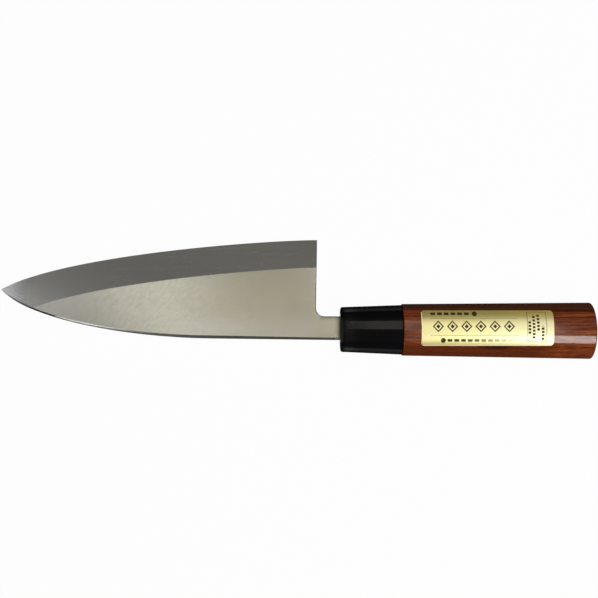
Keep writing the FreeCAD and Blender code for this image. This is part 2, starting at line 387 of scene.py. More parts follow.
# Name, stretch of x and of y in metres, brightness, colour of the light, and whether mirrors show it.
PANELS = (
    ("heel panel", (-0.20, 0.02), (-0.20, 0.06), 0.47, (1.0, 0.90, 0.64), True),
    ("belly panel", (-0.315, -0.20), (-0.20, 0.12), 1.03, (1.0, 1.0, 0.95), True),
    ("front belly panel", (-0.372, -0.315), (-0.02, 0.14), 1.3, (1.0, 1.0, 0.95), True),
    ("tip panel", (-0.56, -0.425), (-0.06, 0.12), 0.85, (0.92, 0.94, 1.0), True),
    ("bevel panel", (-1.05, -0.74), (0.0, 0.30), 3.0, (0.92, 0.95, 1.0), True),
    ("ferrule panel", (0.05, 0.165), (0.02, 0.60), 2.0, (1.0, 0.96, 0.88), True),
    ("wood panel", (0.165, 0.25), (-0.75, 0.75), 0.75, (1.0, 0.88, 0.75), True),
    ("spine panel", (-1.0, -0.86), (-1.60, -1.0), 10.0, (0.97, 0.96, 1.0), True),
    ("label panel", (0.25, 0.41), (-0.25, 0.65), 2.12, WHITE, True),
    ("key", (0.35, 0.60), (-0.80, -0.28), 8.4, (1.0, 0.97, 0.92), True),
    ("side of the key", (0.60, 1.10), (-0.80, -0.28), 0.9, (1.0, 0.97, 0.91), True),
    ("key fill", (0.60, 0.85), (-0.80, -0.28), 6.3, (1.0, 0.97, 0.91), False),
    ("overhead fill", (-0.05, 0.30), (-0.15, 0.15), 10.0, WHITE, False),
)


def panel(name, x_range, y_range, brightness, glow, mirrored):
    """A level soft lamp over this stretch of x and y, in metres."""
    lamp = bpy.data.lights.new(name, "AREA")
    lamp.shape = "RECTANGLE"
    lamp.size = x_range[1] - x_range[0]
    lamp.size_y = y_range[1] - y_range[0]
    lamp.energy = brightness * math.pi * lamp.size * lamp.size_y
    lamp.color = glow
    holder = bpy.data.objects.new(name, lamp)
    holder.location = (sum(x_range) / 2, sum(y_range) / 2, PANEL_HEIGHT + mid_level * MM)
    holder.visible_camera = False
    holder.visible_glossy = mirrored
    bpy.context.scene.collection.objects.link(holder)
    print(f"{name}: {lamp.energy:.2f} W")


for entry in PANELS:
    panel(*entry)

# %% [markdown]
# ## Painted shade on the edges of the blade
#
# The spine has a narrow facet towards the flat. From the bend its outer half is painted dark, towards the
# tip all of it, and just behind the tip a dark line is painted along the spine. The edges by the finger
# notch are eased, and the steel is painted dim there. All of these are painted shade. They could be cut as
# thin faces, but they are tones on a face and have soft ends, so each is a mask: worked out from where a
# point lies and which way it faces.

# %% Landmarks of the blade
HEEL_OVERLAP = 0.8       # mm that the hard layer runs past the heel
HEEL_X = edge_high.x - HEEL_OVERLAP
STRAIGHT_SPINE = 51.5    # mm from the heel to where the spine starts to fall
BEND_X = HEEL_X - STRAIGHT_SPINE
print(f"heel at x {HEEL_X:.2f}, bend of the spine at x {BEND_X:.2f} mm")

# %% Painted shade on the facet and along the spine
SPINE_THICK, TIP_THICK = 5.0, 1.5         # mm at the heel and at the tip
BEND_FACET, TIP_FACET = 0.8, 0.32         # mm, depth of the facet at the bend and at the tip
OUTER_HALF = (0.42, 0.62)                 # shares of that depth between which the outer half starts
DARK_FRONT = (28.0, 25.0)                 # mm from the tip over which the whole facet is painted dark
DARK_AHEAD = (0.15, 0.4)                  # shares of the way from bend to tip over which the painted shade sets in
FACES_SPINE = (-0.15, -0.35)              # how far the facet leans to the spine's side
FACES_UP = (0.05, 0.2)                    # upright walls face up less than this
TIP_SLOPE, TIP_CURVE = 0.842, 0.0178      # how the spine falls behind the tip
LINE_WIDE = (0.75, 0.25)                  # mm from the spine over which the line fades
LINE_START = (1.0, 8.0)                   # mm behind the tip over which the line sets in
LINE_END = (16.0, 12.0)                   # and over which it gives way to the facet


def facet_shade(tree, x, z):
    """Painted shade on the outer half of the spine's facet, ahead of the bend."""
    forward = at_least((HEEL_X - x) / (HEEL_X - edge_low.x), 0.0)
    ahead = at_least((BEND_X - x) / (BEND_X - edge_low.x), 0.0)
    flat_level = back_level + SPINE_THICK - forward * (SPINE_THICK - TIP_THICK)
    facet = BEND_FACET - ahead * (BEND_FACET - TIP_FACET)
    outer = either(step((flat_level - z) / facet, *OUTER_HALF), step(x - edge_low.x, *DARK_FRONT))
    on_facet = step(facing(tree, "Y"), *FACES_SPINE) * step(facing(tree), *FACES_UP)
    return outer * on_facet * step(ahead, *DARK_AHEAD)


def tip_shade_line(tree, x, y):
    """A line of painted shade along the spine on the last of the bevel."""
    behind = x - edge_low.x
    spine = tip_point.y - behind * (TIP_SLOPE - behind * TIP_CURVE)
    stretch = step(behind, *LINE_START) * step(behind, *LINE_END)
    return step(y - spine, *LINE_WIDE) * stretch * step(facing(tree), *FACES_UP)


print("facet", BEND_FACET, "to", TIP_FACET, "mm deep")

# %% Painted shade by the finger notch
BEAD_LIP = 1.0                            # mm from the neck to where the resin ends on the ferrule
NECK_EDGE = seal_high.y - BEAD_LIP        # the neck's side towards the notch
NECK_SHADE = 3.3                          # mm beside that edge
PAST_HEEL = (0.0, 2.0)                    # mm past the heel over which the neck starts
LEANS_OUT = (0.05, 0.3)                   # how far an eased edge leans to its side
NECK_DIM, HEEL_DIM = 0.3, 0.6             # shares of the painted shade


def notch_shade(tree, x, y):
    """Painted shade on the eased edges of the heel and the neck, by the finger notch, and beside the neck.
    """
    beside = step(y, NECK_EDGE - NECK_SHADE, NECK_EDGE) * NECK_DIM
    neck = either(step(facing(tree, "Y"), *LEANS_OUT), beside) * step(x - HEEL_X, *PAST_HEEL)
    return either(neck, step(facing(tree, "X"), *LEANS_OUT) * HEEL_DIM)


print(f"neck's edge at y {NECK_EDGE:.2f} mm")

# %% [markdown]
# ## Steel
#
# The flat and the bevel are the same steel, ground two ways. Both carry fine lines along the blade from the
# belt. The flat is brighter by the spine and warmer at the neck, and a hand has brushed it along the rising
# diagonal, more by the belly than at the heel. The bevel is a little cloudy and is painted brighter at the
# tip, a painted reflection, and near the cutting edge the last strokes on the stone cross the grind lines.
# Resin has crept onto the neck where it goes into the ferrule, and its dark there is also painted shade.
#
# The two faces could be separate materials. They are told apart by how far they face up instead, so the
# ridge between them stays as crisp as the solid's own edge. The hard layer also has a face that lies
# against the other steel. It is kept dark, so that it does not sparkle through the joint.

# %% Flat of the blade
FLAT_PALE = shade(0.66, 0.637, 0.552)
FLAT_DEEP = shade(0.53, 0.513, 0.443)
BRIGHT_PALE = shade(0.74, 0.729, 0.685)
BRIGHT_DEEP = shade(0.60, 0.591, 0.555)
BRIGHT_ACROSS = (axis_y + 11.0, axis_y - 1.0)    # the flat is brighter by the spine
BRIGHT_ALONG = (85.0, 45.0)               # mm ahead of the heel over which that sets in
NECK_WARM = shade(0.72, 0.695, 0.535)
NECK_WARMS = (-4.0, 5.0)                  # mm past the heel over which the steel turns warm
NECK_SHARE = 0.8
BRUSH_PATCH = (4.6, 2.1, 1.0)             # mm, a stroke along and across the diagonal
BRUSH_STEP = (0.3, 0.7)
BRUSH_HEEL, BRUSH_BELLY = 0.18, 0.2       # how strong at the heel, and how much more by the belly
BRUSH_GROWS = (40.0, 80.0)                # mm ahead of the heel
FLAT_BASE, FLAT_MOTTLED, FLAT_STREAKED = 0.2, 0.5, 0.1


def brushed(x, y):
    """Strokes of a hand along the rising diagonal, above and below 0."""
    turned = Wire.add(x.tree, "ShaderNodeCombineXYZ", values={0: x + y, 1: y - x})
    strength = BRUSH_HEEL + step(HEEL_X - x, *BRUSH_GROWS) * BRUSH_BELLY
    return swing(step(clouds(turned, BRUSH_PATCH), *BRUSH_STEP)) * strength


def flat_colour(x, y, mottle, streaks):
    bright = step(y, *BRIGHT_ACROSS) * step(HEEL_X - x, *BRIGHT_ALONG)
    worked = FLAT_BASE + brushed(x, y) + mottle * FLAT_MOTTLED + streaks * FLAT_STREAKED
    deep = tint(bright, FLAT_DEEP, BRIGHT_DEEP)
    pale = tint(bright, FLAT_PALE, BRIGHT_PALE)
    return tint(step(x - HEEL_X, *NECK_WARMS) * NECK_SHARE, tint(worked, deep, pale), NECK_WARM)


print("strokes of", BRUSH_PATCH[0], "mm on the flat")

# %% Bevel
BEVEL_WARM = shade(0.62, 0.605, 0.55)
BEVEL_COOL = shade(0.55, 0.54, 0.50)
BEVEL_MOTTLED, BEVEL_STREAKED = 0.4, 0.6
TIP_BRIGHT = shade(0.86, 0.86, 0.86)
TIP_GLEAM_REACH = (12.0, 3.0)                  # mm from the tip over which it is painted brighter, a painted reflection


def bevel_colour(x, mottle, streaks):
    cloudy = tint(mottle * BEVEL_MOTTLED + streaks * BEVEL_STREAKED, BEVEL_COOL, BEVEL_WARM)
    return tint(step(x - edge_low.x, *TIP_GLEAM_REACH), cloudy, TIP_BRIGHT)


print("tip is brighter over", TIP_GLEAM_REACH[0], "mm")

# %% Marks on the steel
# Each is the patch in mm along x, y and z, and how much fine detail it has.
HAIRLINES = ((45.0, 0.35, 0.35), 3.0)
STREAKS = ((80.0, 1.5, 1.5), 4.0)
MOTTLE = ((11.0, 14.0, 9.0), 3.0)
STONE_STROKES = ((0.4, 5.0, 5.0), 2.0)
RAGGED = ((2.0, 0.9, 0.9), 2.0)

HONE_REACH = 0.9                          # mm up from the back, on the bevel
HONE_SHARE = 0.5
STAIN_SHADE_REACH, STAIN_SHADE_END = 3.4, 1.1         # mm along the neck, and into the ferrule
STAIN_SHADE_WANDER = STAIN_SHADE_REACH / 3


def grind_lines(place, z, bevel, hairlines):
    """Lines along the blade, crossed by the strokes of the stone near the cutting edge."""
    strokes = clouds(place, *STONE_STROKES)
    honed = step(z - back_level, HONE_REACH, HONE_REACH / 2) * bevel
    return hairlines + (strokes - hairlines) * honed * HONE_SHARE


# Resin stain and painted shade: the neck is tinted dark where it goes into the ferrule.
def neck_stain_and_shade(place, x):
    wander = swing(clouds(place, *RAGGED)) * STAIN_SHADE_WANDER
    return step(x + wander, mouth_x - STAIN_SHADE_REACH, mouth_x + STAIN_SHADE_END)


print("stain over", STAIN_SHADE_REACH, "mm of the neck")

# %% Steel
FLAT_UP, FLAT_BLUR = 0.9985, 0.0006       # the flat faces up more than this, the bevel less
BEVEL_UP = (0.80, 0.88)                   # walls and facets face up less than this
JOINT_DARK = shade(0.14, 0.137, 0.13)
# Painted shade for the spine's facet, the line behind the tip and the edges by the finger notch.
STEEL_PAINTED_SHADE = shade(0.06, 0.058, 0.052)
NECK_STAIN_AND_SHADE = shade(0.035, 0.022, 0.012)
TIP_LINE_DARK = 0.85
STAIN_SHADE_COVER = 0.9                         # share of the metal that the resin stain hides
STEEL_ROUGH, LINES_ROUGH, BEVEL_ROUGH = 0.18, 0.05, 0.03
LINES_DEEP, STREAKS_DEEP = 0.7, 0.3
GRIND_DEPTH = 0.0004                      # mm


def ground_steel(name, top):
    finish, tree = new_finish(name)
    place, x, y, z = place_of(tree)
    up = facing(tree)
    bevel = step(up, FLAT_UP + FLAT_BLUR, FLAT_UP - FLAT_BLUR) * step(up, *BEVEL_UP)
    hairlines = clouds(place, *HAIRLINES)
    streaks = clouds(place, *STREAKS)
    mottle = clouds(place, *MOTTLE)
    flat_tone = flat_colour(x, y, mottle, streaks)
    if not top:
        flat_tone = tint(step(up, FLAT_UP - FLAT_BLUR, FLAT_UP + FLAT_BLUR), flat_tone, JOINT_DARK)
    steel_tone = tint(bevel, flat_tone, bevel_colour(x, mottle, streaks))
    # Painted shade: the facet, the tip line and the edges by the notch are tinted towards the dark steel.
    dark = either(facet_shade(tree, x, z), notch_shade(tree, x, y), tip_shade_line(tree, x, y) * TIP_LINE_DARK)
    stain_and_shade = neck_stain_and_shade(place, x)
    lines = grind_lines(place, z, bevel, hairlines)
    coat(finish, {
        "Base Color": tint(stain_and_shade, tint(dark, steel_tone, STEEL_PAINTED_SHADE), NECK_STAIN_AND_SHADE),
        "Metallic": 1 - stain_and_shade * STAIN_SHADE_COVER,
        "Roughness": STEEL_ROUGH + hairlines * LINES_ROUGH + streaks * LINES_ROUGH + bevel * BEVEL_ROUGH,
        "Normal": relief(lines * LINES_DEEP + streaks * STREAKS_DEEP, GRIND_DEPTH),
    })
    return finish


dress("blade_cladding", ground_steel("cladding steel", top=True))
dress("edge_steel", ground_steel("edge steel", top=False))

# %% [markdown]
# ## Ferrule
#
# The ferrule is moulded black plastic with a gloss. What shows on it is the stripe of the panel above, so
# the finish is mostly about that stripe: a slow waviness along the collar from the mould, fine handling
# scratches that dull the gloss here and there, a deeper gloss at the front, and rims that are dull. A black
# with an even gloss would be simpler, but its stripe would look drawn with a ruler. The side below the
# axis, towards the key, is painted a little greyer as a painted sheen, and some resin is smeared on the
# front rim.

# %% Ferrule
FERRULE_BLACK = shade(0.0022, 0.0022, 0.0028)
FERRULE_WORN_AND_SHEEN = shade(0.006, 0.006, 0.007)
SHEEN_SIDE = (axis_y - 5.0, axis_y - 9.0)  # where it is painted greyer below the axis, a painted sheen
SHEEN_GREY, SCRATCH_GREY = 0.4, 0.6
SCRATCHES = ((14.0, 0.12, 0.12), 3.0)     # mm along x, y and z, and the detail
SCRATCH_STEP = (0.60, 0.72)
HANDLED = ((7.0, 5.0, 5.0), 3.0)
WAVES = ((30.0, 2.2, 2.2), 2.0)
WAVE_DEPTH, SCRATCH_DEEP = 0.02, 0.02     # mm, and a share of it
print("scratches", SCRATCHES[0][0], "mm long")

# %% Gloss of the ferrule
GLOSS_UP = (0.40, 0.85)                   # the broad faces, up or down, are polished
RIM_DULL = (0.3, 3.0)                     # mm behind the mouth over which the polish sets in
REAR_DULL = (0.3, 0.7)                    # mm ahead of the rear rim over which it ends
FRONT_GLOSS = (9.4, 3.0)                  # mm behind the mouth over which the gloss gets deeper
FRONT_DEEPER = 1.7
LEAST_GLOSS, FULL_GLOSS = 0.02, 0.31
SCRATCH_DULL = 0.3
GLOSS_ROUGH = 0.09
FERRULE_ROUGH, HANDLED_ROUGH, SCRATCH_ROUGH = 0.25, 0.1, 0.2
NO_SHEEN = 0.0                            # the coat alone gives the gloss


def ferrule_gloss(tree, x, scratches):
    inside = x - mouth_x
    polished = step(abs(facing(tree)), *GLOSS_UP) * step(inside, *RIM_DULL)
    polished = polished * step(ferrule_high.x - x, *REAR_DULL)
    deeper = 1 + FRONT_DEEPER * step(inside, *FRONT_GLOSS)
    return (LEAST_GLOSS + polished * FULL_GLOSS * deeper) * (1 - scratches * SCRATCH_DULL)


print("front of the ferrule is", 1 + FRONT_DEEPER, "times as glossy")

# %% Smear and finish of the ferrule
RESIN_SMEAR = shade(0.024, 0.022, 0.017)
SMEAR_ALONG = (1.4, 0.2)                  # mm behind the mouth
SMEAR_ACROSS = (6.5, 4.5)                 # mm to either side of the axis
SMEAR_UP = (0.0, 2.0)                     # mm above the mid-plane


def moulded_black():
    finish, tree = new_finish("moulded black")
    place, x, y, z = place_of(tree)
    scratches = step(clouds(place, *SCRATCHES), *SCRATCH_STEP)
    handled = clouds(place, *HANDLED)
    waves = clouds(place, *WAVES)
    # Scratches are real wear; the greyer side below the axis is a painted sheen.
    grey = either(scratches * SCRATCH_GREY, step(y, *SHEEN_SIDE) * SHEEN_GREY)
    smear = step(x - mouth_x, *SMEAR_ALONG) * step(abs(y - axis_y), *SMEAR_ACROSS)
    smear = smear * step(z - mid_level, *SMEAR_UP)
    coat(finish, {
        "Base Color": tint(smear, tint(grey, FERRULE_BLACK, FERRULE_WORN_AND_SHEEN), RESIN_SMEAR),
        "Specular IOR Level": NO_SHEEN,
        "Roughness": FERRULE_ROUGH + handled * HANDLED_ROUGH + scratches * SCRATCH_ROUGH,
        "Coat Weight": ferrule_gloss(tree, x, scratches),
        "Coat Roughness": GLOSS_ROUGH,
        "Normal": relief(waves + scratches * SCRATCH_DEEP, WAVE_DEPTH),
    })
    return finish


dress("ferrule", moulded_black())

# %% [markdown]
# ## Wood
#
# The handle is a reddish brown hardwood, oiled and lacquered. A picture of wood wrapped round the handle
# would smear at the butt. Wood is a solid stuff: the lines on its side and the dots on its end are the same
# pores, so the finish is made in three dimensions, with patches that are long along the handle and small
# across it. Growth rings are the level lines of one broad cloud, which gives each its own spacing, and
# pores are short dark dashes.
#
# The board is a little more orange towards the spine side, and painted lighter towards the butt as painted
# light. Painted shade darkens its other side, and the spine side up to the end of the label. A knot lies
# below the label on the spine side, and two dark seams run out to the butt. The rim of the butt and its end
# grain are darker too.

# %% Colour of the board
WOOD_RED = shade(0.218, 0.049, 0.0138)
WOOD_WARM = shade(0.224, 0.050, 0.0110)
WOOD_LIT = shade(0.29, 0.068, 0.0175)
WARM_EDGE = (axis_y + 2.0, axis_y - 11.0)    # where it turns warm
WARM_WANDER = 9.0                         # mm by which that place wanders
WARM_SHARE = 0.8
# Painted light: the board is painted lighter towards the butt.
LIT_FROM = (label_high.x - 12.0, label_high.x + 8.0)
LIT_SHARE = 0.6


def board_colour(x, y, patches):
    warm = step(y + swing(patches) * WARM_WANDER, *WARM_EDGE) * WARM_SHARE
    return tint(step(x, *LIT_FROM) * LIT_SHARE, tint(warm, WOOD_RED, WOOD_WARM), WOOD_LIT)


print(f"wood gets lighter from x {LIT_FROM[0]:.2f} mm")

# %% Streaks and rings
# Each cloud is the patch in mm along x, y and z, its detail and, for the board, its twist.
BOARD = ((150.0, 13.0, 13.0), 2.0, 0.4)
WOOD_STREAKS = ((60.0, 1.0, 1.0), 5.0)
WOOD_LINES = ((90.0, 0.3, 0.3), 2.0)
FIGURE = ((5.0, 0.9, 0.9), 3.0)
STREAK_STEP = (0.36, 0.64)
LINE_STEP = (0.55, 0.68)
RING_COUNT = 42.0
LATE_WOOD = (0.45, 1.0)                   # the dark share of each ring
WOOD_DARK = shade(0.085, 0.016, 0.004)
STREAK_DARK, LINE_DARK, FIBRE_DARK, DARK_BASE = 0.6, 0.45, 1.1, 0.2
FIGURE_SIDE, FIGURE_END = 1.9, 1.5        # how strong on the sides, and how much less on the end grain


def streaked(place, body, fibre, end_grain):
    streaks = step(clouds(place, *WOOD_STREAKS), *STREAK_STEP)
    lines = step(clouds(place, *WOOD_LINES), *LINE_STEP)
    figured = swing(clouds(place, *FIGURE)) * (FIGURE_SIDE - end_grain * FIGURE_END)
    dark = (1 - streaks) * STREAK_DARK + lines * LINE_DARK + swing(fibre) * FIBRE_DARK
    return tint(dark + figured + DARK_BASE, body, WOOD_DARK)


def late_wood(place):
    board = clouds(place, *BOARD)
    rings = board.sum("SINE", board * RING_COUNT)
    return step(rings, *LATE_WOOD)


print("rings:", RING_COUNT, "radians over the board")

# %% Knot and seams
KNOT_AT = (label_low.x + 34.5, wood_low.y + 6.3)
KNOT_LONG, KNOT_HIGH = 9.0, 1.7           # mm
KNOT_WANDER = 1.2
KNOT_STEP = (1.0, 0.2)
SEAMS = ((3.7, 0.75), (6.9, 0.45))        # mm below the wood's upper side, and how wide
SEAM_SOFT = 1.4                           # the band that is drawn, as a share of that width
SEAM_WANDER = 0.8                         # mm
SEAM_START = (label_high.x - 14.0, label_high.x)
SEAM_UP = (0.1, 0.4)                      # they show on what faces up more than this


def knot_mark(x, y, patches):
    along = (x - KNOT_AT[0]) / KNOT_LONG
    across = (y - KNOT_AT[1]) / KNOT_HIGH
    return step(along * along + across * across + swing(patches) * KNOT_WANDER, *KNOT_STEP)


def seam_marks(tree, x, y, patches):
    level = y + swing(patches) * SEAM_WANDER
    marks = either(*(band(level, wood_high.y - drop, width * SEAM_SOFT, width) for drop, width in SEAMS))
    return marks * step(x, *SEAM_START) * step(facing(tree), *SEAM_UP)


print(len(SEAMS), "seams and a knot of", KNOT_LONG, "mm")

# %% Painted shade on the sides of the wood
# Painted shade along both flanks of the handle: the far side, and the spine side up to the end of the label.
FAR_SIDE_SHADE = shade(0.050, 0.016, 0.007)
FAR_SHADE_EDGE = (wood_high.y - 4.6, wood_high.y - 2.4)
UNDER_SHADE_EDGE = (wood_low.y + 8.0, wood_low.y + 5.0)
UNDER_SHADE_END = (label_high.x + 4.0, label_high.x - 12.0)
SIDE_WANDER = 2.4                         # mm
LATE_SHARE, UNDER_SHADE_SHARE, FAR_SHADE_SHARE = 0.6, 0.75, 0.9


def darkened(place, x, y, patches, wood):
    """The wood with its late rings, and painted shade on its far side and on its spine side."""
    wander = y + swing(patches) * SIDE_WANDER
    under_shade = step(wander, *UNDER_SHADE_EDGE) * step(x, *UNDER_SHADE_END)
    ringed_and_shaded = tint(either(late_wood(place) * LATE_SHARE, under_shade * UNDER_SHADE_SHARE), wood, WOOD_DARK)
    return tint(step(wander, *FAR_SHADE_EDGE) * FAR_SHADE_SHARE, ringed_and_shaded, FAR_SIDE_SHADE)


print(f"far_shade above y {FAR_SHADE_EDGE[0]:.2f} mm")

# %% Wood
FIBRE = ((30.0, 0.35, 0.35), 3.0)
PORES = ((4.5, 0.17, 0.17), 1.0)
PATCHES = ((26.0, 3.2, 3.2), 3.0)
WORN_LACQUER = ((9.0, 0.55, 0.55), 4.0)
PORE_STEP = (0.63, 0.70)
PORE_DARK = shade(0.030, 0.007, 0.003)
END_GRAIN = (0.75, 0.95)                  # the end faces along the handle more than this
BUTT_RIM = (0.75, 0.15)                   # mm from the butt over which the rim darkens
RIM_UP = (0.05, 0.35)
PORE_SHARE, RIM_SHARE, END_SHARE, MARK_SHARE = 0.7, 0.8, 0.3, 0.8
WOOD_ROUGH, FIBRE_ROUGH, PORE_ROUGH = 0.45, 0.10, 0.2
LACQUER_UP = (0.66, 0.92)                 # the lacquer is polished on the broad faces
LEAST_LACQUER, THIN_LACQUER, WORN_SWING = 0.03, 0.25, 1.4
PORE_DULL, RIM_MATT = 0.4, 0.8
LACQUER_ROUGH = 0.12
GRAIN_DEEP, GRAIN_DEPTH = 0.5, 0.02       # a share, and mm


def lacquered_wood():
    finish, tree = new_finish("lacquered wood")
    place, x, y, _ = place_of(tree)
    up = facing(tree)
    patches = clouds(place, *PATCHES)
    fibre = clouds(place, *FIBRE)
    pores = step(clouds(place, *PORES), *PORE_STEP)
    end_grain = step(facing(tree, "X"), *END_GRAIN)
    wood = streaked(place, board_colour(x, y, patches), fibre, end_grain)
    wood = darkened(place, x, y, patches, wood)
    rim = step(wood_high.x - x, *BUTT_RIM) * step(abs(up), *RIM_UP)
    marks = either(knot_mark(x, y, patches), seam_marks(tree, x, y, patches)) * MARK_SHARE
    dark = either(pores * PORE_SHARE, rim * RIM_SHARE, end_grain * END_SHARE, marks)
    lacquer = LEAST_LACQUER + step(abs(up), *LACQUER_UP)
    lacquer = lacquer * (THIN_LACQUER + clouds(place, *WORN_LACQUER) * WORN_SWING)
    coat(finish, {
        "Base Color": tint(dark, wood, PORE_DARK),
        "Specular IOR Level": NO_SHEEN,
        "Roughness": WOOD_ROUGH + fibre * FIBRE_ROUGH + pores * PORE_ROUGH,
        "Coat Weight": lacquer * (1 - pores * PORE_DULL) * (1 - rim * RIM_MATT),
        "Coat Roughness": LACQUER_ROUGH,
        "Normal": relief(fibre * GRAIN_DEEP - pores * GRAIN_DEEP, GRAIN_DEPTH),
    })
    return finish


dress("handle_body", lacquered_wood())

# %% [markdown]
# ## Label
#
# The label is a pale gold foil. It is half paper and half metal: it mirrors the room softly, and runs from
# olive on the far side of the handle to nearly white by the key. The olive there is painted shade, the
# foil is painted paler towards the butt as painted light and dimmer in the corner by the ferrule as painted
# shade, and a pale rim on its left and lower edges is a painted highlight. The olive turns to amber towards
# the butt. The print on it is plain ornament in dark ink: two rules, two rows of dashes with a dot each, a
# line of lozenges and a small frame with columns of ticks. It could be an image, but masks stay sharp at any
# distance. All of it is worked out from the distance to the label's own corner, so it stays on the label.

# %% Label print
INK_BLUR = 0.12           # mm
RULE_START, RULE_END = 4.0, 43.8
RULE_LEVELS = (4.75, 12.6)
RULE_WIDTH = 0.26
RULE_INK = 0.55           # share of the ink that is left in the rules
HALF_TURN = 0.5


def bar(along, start, end):
    """1 between two places along the label."""
    return band(along, (start + end) / 2, end - start, INK_BLUR)


def row(along, first, pitch):
    """How far the nearest mark of a row is, in mm."""
    turns = (along - first) / pitch + HALF_TURN
    return abs(turns.sum("FRACT", turns) - HALF_TURN) * pitch


def rules(along, across):
    lines = either(*(band(across, level, RULE_WIDTH, INK_BLUR) for level in RULE_LEVELS))
    return lines * bar(along, RULE_START, RULE_END) * RULE_INK


print("rules from", RULE_START, "to", RULE_END, "mm")

# %% Lozenges
LOZENGE_FIRST, LOZENGE_PITCH, LOZENGE_COUNT = 7.6, 6.5, 6
LOZENGE_LEVEL, LOZENGE_HIGH, LOZENGE_LONG = 8.95, 5.4, 5.2
LOZENGE_LINE = (0.84, 0.30, 0.10)         # where its outline lies, how wide and how soft, as shares
LOZENGE_HEART = (0.42, 0.34)


def lozenges(along, across):
    sideways = row(along, LOZENGE_FIRST, LOZENGE_PITCH) / (LOZENGE_LONG / 2)
    upward = abs(across - LOZENGE_LEVEL) / (LOZENGE_HIGH / 2)
    reach = sideways + upward
    marks = either(band(reach, *LOZENGE_LINE), step(reach, *LOZENGE_HEART))
    last = LOZENGE_FIRST + (LOZENGE_COUNT - 1) * LOZENGE_PITCH
    return marks * bar(along, LOZENGE_FIRST - LOZENGE_PITCH / 2, last + LOZENGE_PITCH / 2)


print(LOZENGE_COUNT, "lozenges")

# %% Dashes and dots
DASH_LONG, DASH_HIGH, DASH_PITCH = 2.2, 1.2, 3.1
UPPER_DASHES, UPPER_LEVEL = (4.2, 22.4), 14.7
LOWER_DASHES, LOWER_LEVEL = (11.9, 43.4), 2.5
DOTS = ((24.45, 14.7), (10.0, 2.5))
DOT_WIDE = 2.3


def dashes(along, across, stretch, level):
    apart = row(along, stretch[0] + DASH_LONG / 2, DASH_PITCH)
    marks = step(apart, (DASH_LONG + INK_BLUR) / 2, (DASH_LONG - INK_BLUR) / 2)
    return marks * band(across, level, DASH_HIGH, INK_BLUR) * bar(along, *stretch)


def dot(along, across, spot):
    near = (along - spot[0]) * (along - spot[0]) + (across - spot[1]) * (across - spot[1])
    return step(near, (DOT_WIDE / 2 + INK_BLUR / 2) ** 2, (DOT_WIDE / 2 - INK_BLUR / 2) ** 2)


print("dashes in 2 rows,", len(DOTS), "dots")

# %% Small frame
FRAME_ALONG, FRAME_ACROSS = (48.4, 57.3), (2.0, 15.6)
FRAME_LINE = 0.22
COLUMNS = ((49.5, 5.5, 11.8), (51.4, 3.3, 14.4), (53.4, 7.0, 14.4), (55.5, 2.7, 9.2))


def small_frame(along, across):
    inside = bar(along, *FRAME_ALONG) * bar(across, *FRAME_ACROSS)
    within = bar(along, FRAME_ALONG[0] + FRAME_LINE, FRAME_ALONG[1] - FRAME_LINE)
    within = within * bar(across, FRAME_ACROSS[0] + FRAME_LINE, FRAME_ACROSS[1] - FRAME_LINE)
    ticks = []
    for place, start, end in COLUMNS:
        marks = step(row(across, start + DASH_HIGH / 2, DASH_PITCH / 2), DASH_HIGH / 2, DASH_HIGH / 3)
        ticks.append(marks * band(along, place, DASH_HIGH, INK_BLUR) * bar(across, start, end))
    return either(inside - within, *ticks)


print("small frame with", len(COLUMNS), "columns")

# %% Foil
FOIL_OLIVE = shade(0.72, 0.58, 0.18)
FOIL_AMBER = shade(0.94, 0.71, 0.17)
FOIL_GOLD = shade(0.84, 0.77, 0.36)
FOIL_PALE = shade(0.92, 0.87, 0.54)
PALER = (20.0, 60.0)                      # mm along the label over which it is painted paler, painted light
PALER_SHARE, CREASE_SHARE = 0.6, 0.4
AMBER = (30.0, 58.0)                      # mm along over which the olive turns to amber
OLIVE_EDGE = (8.5, 15.5)                  # mm up the label over which it turns olive, painted shade
OLIVE_SLOPE = 0.02                        # how that climbs along the label
DIM_ACROSS, DIM_ALONG = (6.0, 1.0), (28.0, 8.0)    # mm, the corner by the ferrule that is painted dimmer, painted shade
DIM_SHARE = 0.3


# Painted light and shade on the foil: paler towards the butt, olive on the far side and dimmer in the corner
# by the ferrule. The creases are the foil's own.
def foil_colour(along, across, creases):
    pale = tint(creases * CREASE_SHARE + step(along, *PALER) * PALER_SHARE, FOIL_GOLD, FOIL_PALE)
    dim = step(across, *DIM_ACROSS) * step(along, *DIM_ALONG) * DIM_SHARE
    olive = tint(step(along, *AMBER), FOIL_OLIVE, FOIL_AMBER)
    return tint(step(across - along * OLIVE_SLOPE, *OLIVE_EDGE), tint(dim, pale, FOIL_OLIVE), olive)


print("foil gets paler over", PALER[1] - PALER[0], "mm")

# %% Label
# A painted highlight: a pale rim along the left and lower edges of the label.
FOIL_RIM_GLINT = shade(0.93, 0.88, 0.58)
RIM_WIDE = 0.35                           # mm
INK = shade(0.012, 0.010, 0.005)
INK_WORN, INK_SPECKLE = 0.97, 0.3
FADE = (16.0, 46.0)                       # mm along which the lower dashes wear away
FADE_SHARE = 0.75
FOIL_GRAIN = ((0.5, 0.5, 0.5), 3.0)
CREASES = ((18.0, 5.0, 5.0), 2.0)
FOIL_METAL, FOIL_SHEEN = 0.75, 0.15
FOIL_ROUGH, GRAIN_ROUGH, INK_ROUGH = 0.34, 0.08, 0.1
FOIL_GRAIN_DEEP, INK_DEEP, CREASE_DEPTH = 0.05, 0.03, 0.03    # two shares, and mm


def label_ink(along, across):
    lower = dashes(along, across, LOWER_DASHES, LOWER_LEVEL) * (1 - step(along, *FADE) * FADE_SHARE)
    upper = dashes(along, across, UPPER_DASHES, UPPER_LEVEL)
    return either(rules(along, across), lozenges(along, across), small_frame(along, across), upper, lower,
                  *(dot(along, across, spot) for spot in DOTS))


